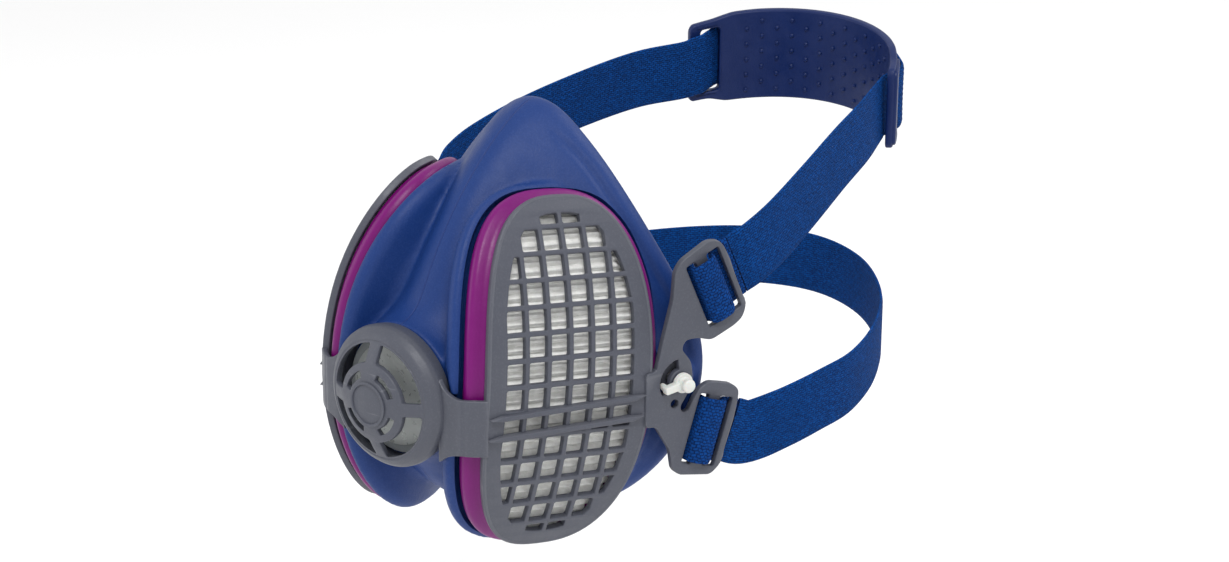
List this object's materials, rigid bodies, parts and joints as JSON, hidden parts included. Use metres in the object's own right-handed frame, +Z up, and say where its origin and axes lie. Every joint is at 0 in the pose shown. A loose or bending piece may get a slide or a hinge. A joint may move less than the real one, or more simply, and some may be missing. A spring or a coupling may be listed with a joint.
{
  "type": "half-mask respirator",
  "caption": "Reusable half-mask respirator with curved pleated side filters under hinged grid covers, a front exhalation valve, elastic head and neck straps and a head cradle.",
  "frame": {"origin": "centre of the face seal, between nose bridge and chin", "axes": "+Y towards the wearer's face, -Y out of the exhalation valve, +Z up, X across the face"},
  "size_m": [0.1362, 0.2247, 0.1266],
  "materials": {
    "facepiece_silicone": "soft matte blue silicone with a fine moulded grain",
    "harness_grey": "flexible grey moulding, fine satin texture",
    "filter_magenta": "smooth satin magenta moulding",
    "filter_media": "white pleated non-woven filter media",
    "filter_white": "white filter back shell",
    "clear_polycarbonate": "clear moulded valve seat",
    "flap_silicone": "thin translucent silicone valve flap",
    "pin_nylon": "natural white nylon",
    "strap_elastic": "knitted blue elastic webbing with ribbed selvedge",
    "cradle_plastic": "navy flexible plastic with small grip studs inside",
    "seal_rubber": "black rubber ring"
  },
  "bodies": {
    "mask": {"facepiece": "facepiece_silicone", "valve_cover": "harness_grey", "exhalation_valve_seat": "clear_polycarbonate", "inhalation_seat_right": "clear_polycarbonate", "inhalation_seat_left": "clear_polycarbonate", "pin_anchor_right": "harness_grey", "pin_anchor_left": "harness_grey", "upper_strap": "strap_elastic", "neck_strap": "strap_elastic", "head_cradle": "cradle_plastic"},
    "exhalation_valve": {"exhalation_flap": "flap_silicone"},
    "inhalation_valve_right": {"inhalation_flap_right": "flap_silicone"},
    "wing_right": {"hinge_band_right": "harness_grey", "grid_cover_right": "harness_grey", "strap_yoke_right": "harness_grey", "upper_strap_loop_right": "strap_elastic", "neck_strap_loop_right": "strap_elastic"},
    "pin_right": {"lock_pin_right": "pin_nylon"},
    "filter_right": {"filter_rim_right": "filter_magenta", "filter_media_right": "filter_media", "filter_base_right": "filter_white", "spigot_seal_right": "seal_rubber"},
    "inhalation_valve_left": {"inhalation_flap_left": "flap_silicone"},
    "wing_left": {"hinge_band_left": "harness_grey", "grid_cover_left": "harness_grey", "strap_yoke_left": "harness_grey", "upper_strap_loop_left": "strap_elastic", "neck_strap_loop_left": "strap_elastic"},
    "pin_left": {"lock_pin_left": "pin_nylon"},
    "filter_left": {"filter_rim_left": "filter_magenta", "filter_media_left": "filter_media", "filter_base_left": "filter_white", "spigot_seal_left": "seal_rubber"}
  },
  "joints": [
    {"name": "exhalation_valve_slide", "type": "slide", "parent": "mask", "child": "exhalation_valve", "axis": [0, -1, 0], "range_m": [0, 0.0016], "stiffness_N_per_m": 20},
    {"name": "wing_hinge_right", "type": "hinge", "parent": "mask", "child": "wing_right", "pos_m": [0.0241, -0.0637, -0.012], "axis": [0, 0, -1], "range_deg": [0, 60]},
    {"name": "filter_slide_right", "type": "slide", "parent": "mask", "child": "filter_right", "axis": [0.9368, -0.341, 0.0785], "range_m": [0, 0.0065]},
    {"name": "pin_turn_right", "type": "hinge", "parent": "wing_right", "child": "pin_right", "pos_m": [0.05498, 0.00076, -0.0125], "axis": [-0.9511, 0.309, 0], "range_deg": [0, 75]},
    {"name": "inhalation_valve_slide_right", "type": "slide", "parent": "mask", "child": "inhalation_valve_right", "axis": [-0.9368, 0.341, -0.0785], "range_m": [0, 0.0015], "stiffness_N_per_m": 20},
    {"name": "wing_hinge_left", "type": "hinge", "parent": "mask", "child": "wing_left", "pos_m": [-0.0241, -0.0637, -0.012], "axis": [0, 0, 1], "range_deg": [0, 60]},
    {"name": "filter_slide_left", "type": "slide", "parent": "mask", "child": "filter_left", "axis": [-0.9368, -0.341, 0.0785], "range_m": [0, 0.0065]},
    {"name": "pin_turn_left", "type": "hinge", "parent": "wing_left", "child": "pin_left", "pos_m": [-0.05498, 0.00076, -0.0125], "axis": [-0.9511, -0.309, 0], "range_deg": [0, 75]},
    {"name": "inhalation_valve_slide_left", "type": "slide", "parent": "mask", "child": "inhalation_valve_left", "axis": [0.9368, 0.341, -0.0785], "range_m": [0, 0.0015], "stiffness_N_per_m": 20}
  ],
  "couplings": [
    {"joint": "filter_slide_right", "follows": "wing_hinge_right", "m_per_rad": 0.006},
    {"joint": "filter_slide_left", "follows": "wing_hinge_left", "m_per_rad": 0.006}
  ]
}
